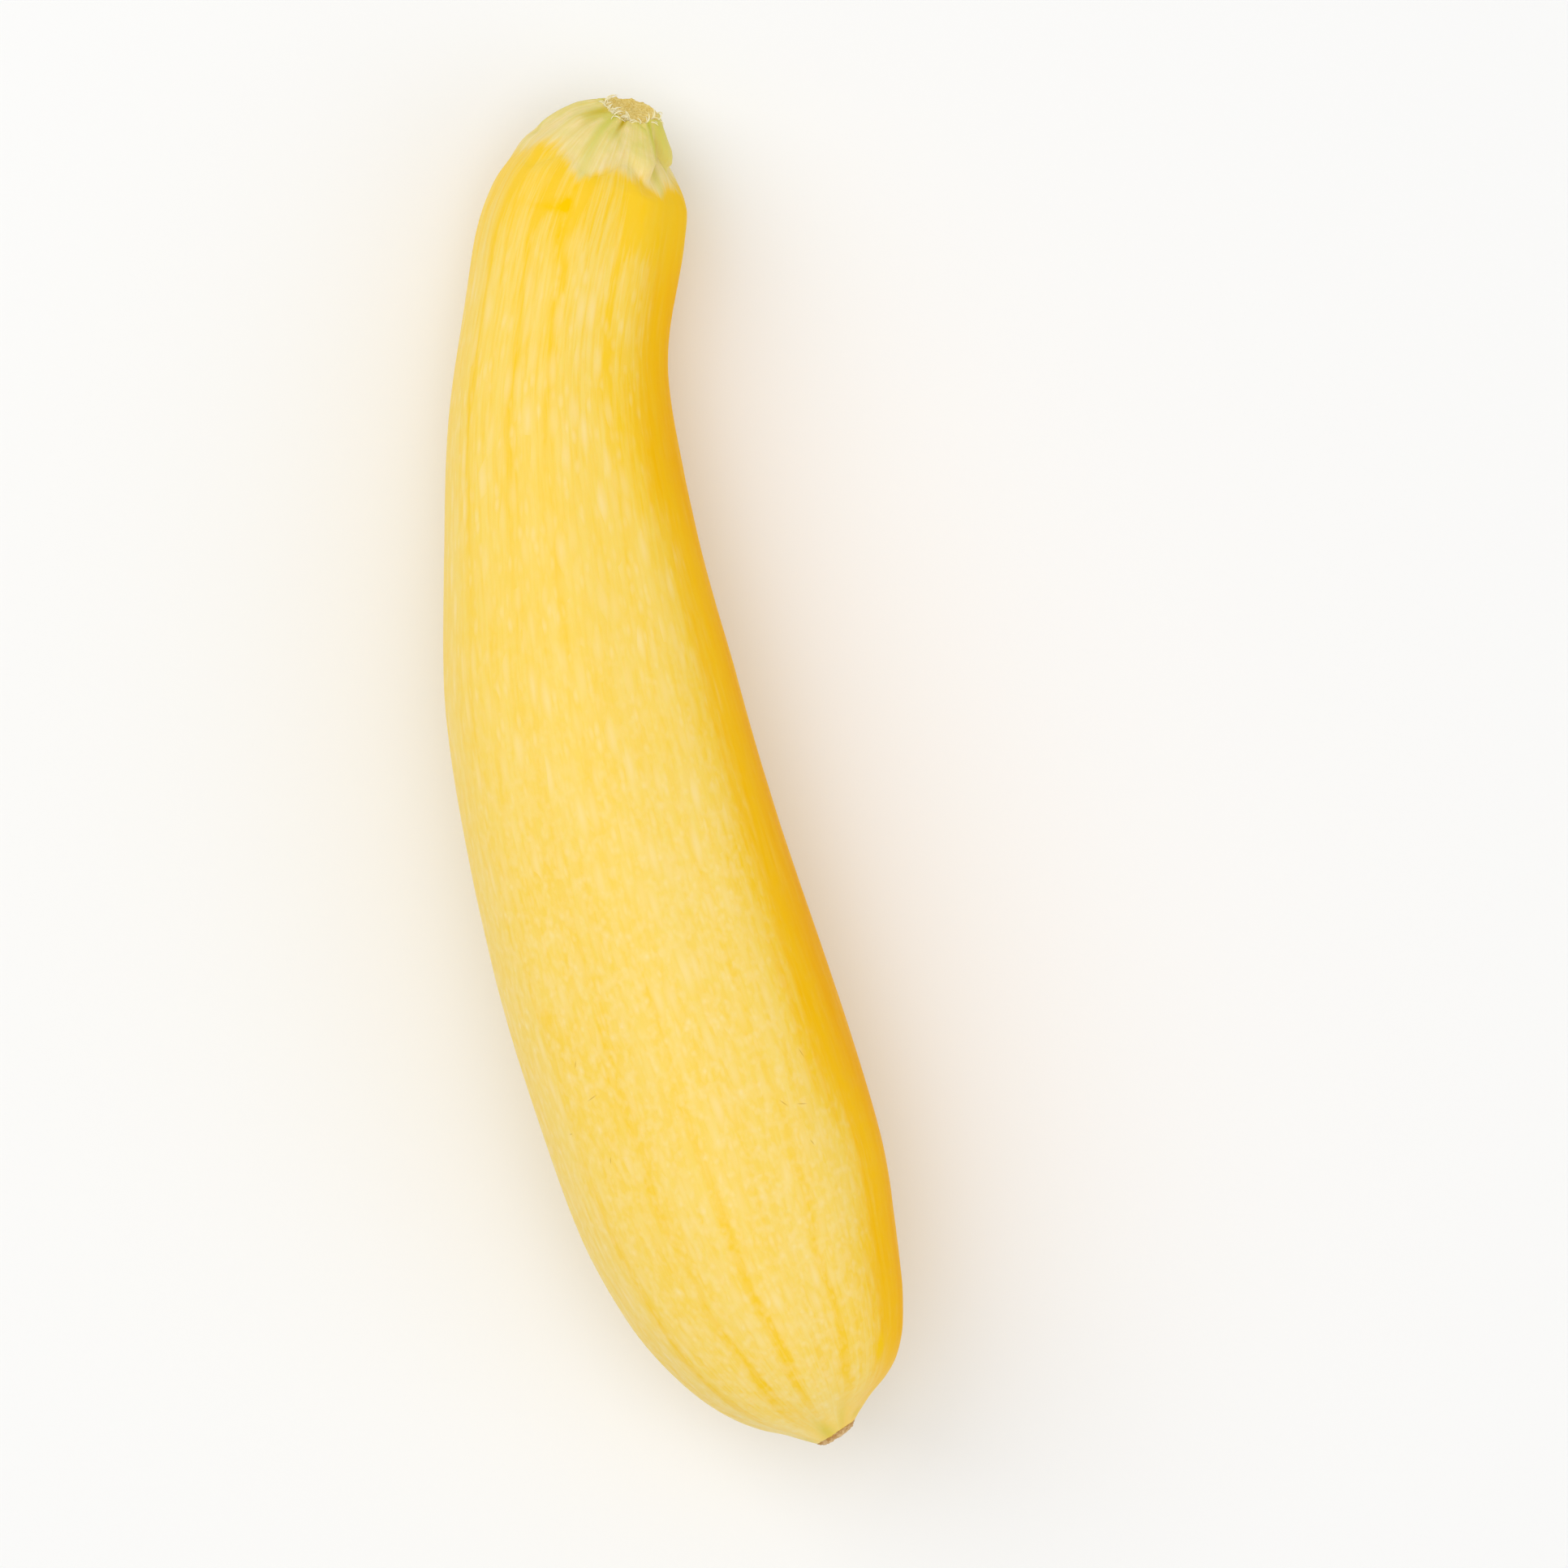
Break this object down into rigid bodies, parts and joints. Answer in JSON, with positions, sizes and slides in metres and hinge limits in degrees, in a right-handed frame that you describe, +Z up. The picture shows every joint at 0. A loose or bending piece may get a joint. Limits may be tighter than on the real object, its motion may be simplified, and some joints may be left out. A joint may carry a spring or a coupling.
{
  "type": "crookneck squash",
  "caption": "Yellow summer squash with a gently bent neck, a ridged pale green stem stub and a corky blossom scar, lying on its side.",
  "frame": {"origin": "on the surface that the squash lies on, below the middle of its bounding box", "axes": "+X from the blossom end to the stem, +Y to the outside of the bend, +Z up"},
  "size_m": [0.1683, 0.0452, 0.0384],
  "materials": {
    "rind": "satin waxy yellow rind with pale flecks and golden bands",
    "stem": "matte pale green ridged stem with a straw-coloured cut"
  },
  "bodies": {
    "root": {"fruit": "rind", "stem_stub": "stem"}
  },
  "joints": []
}
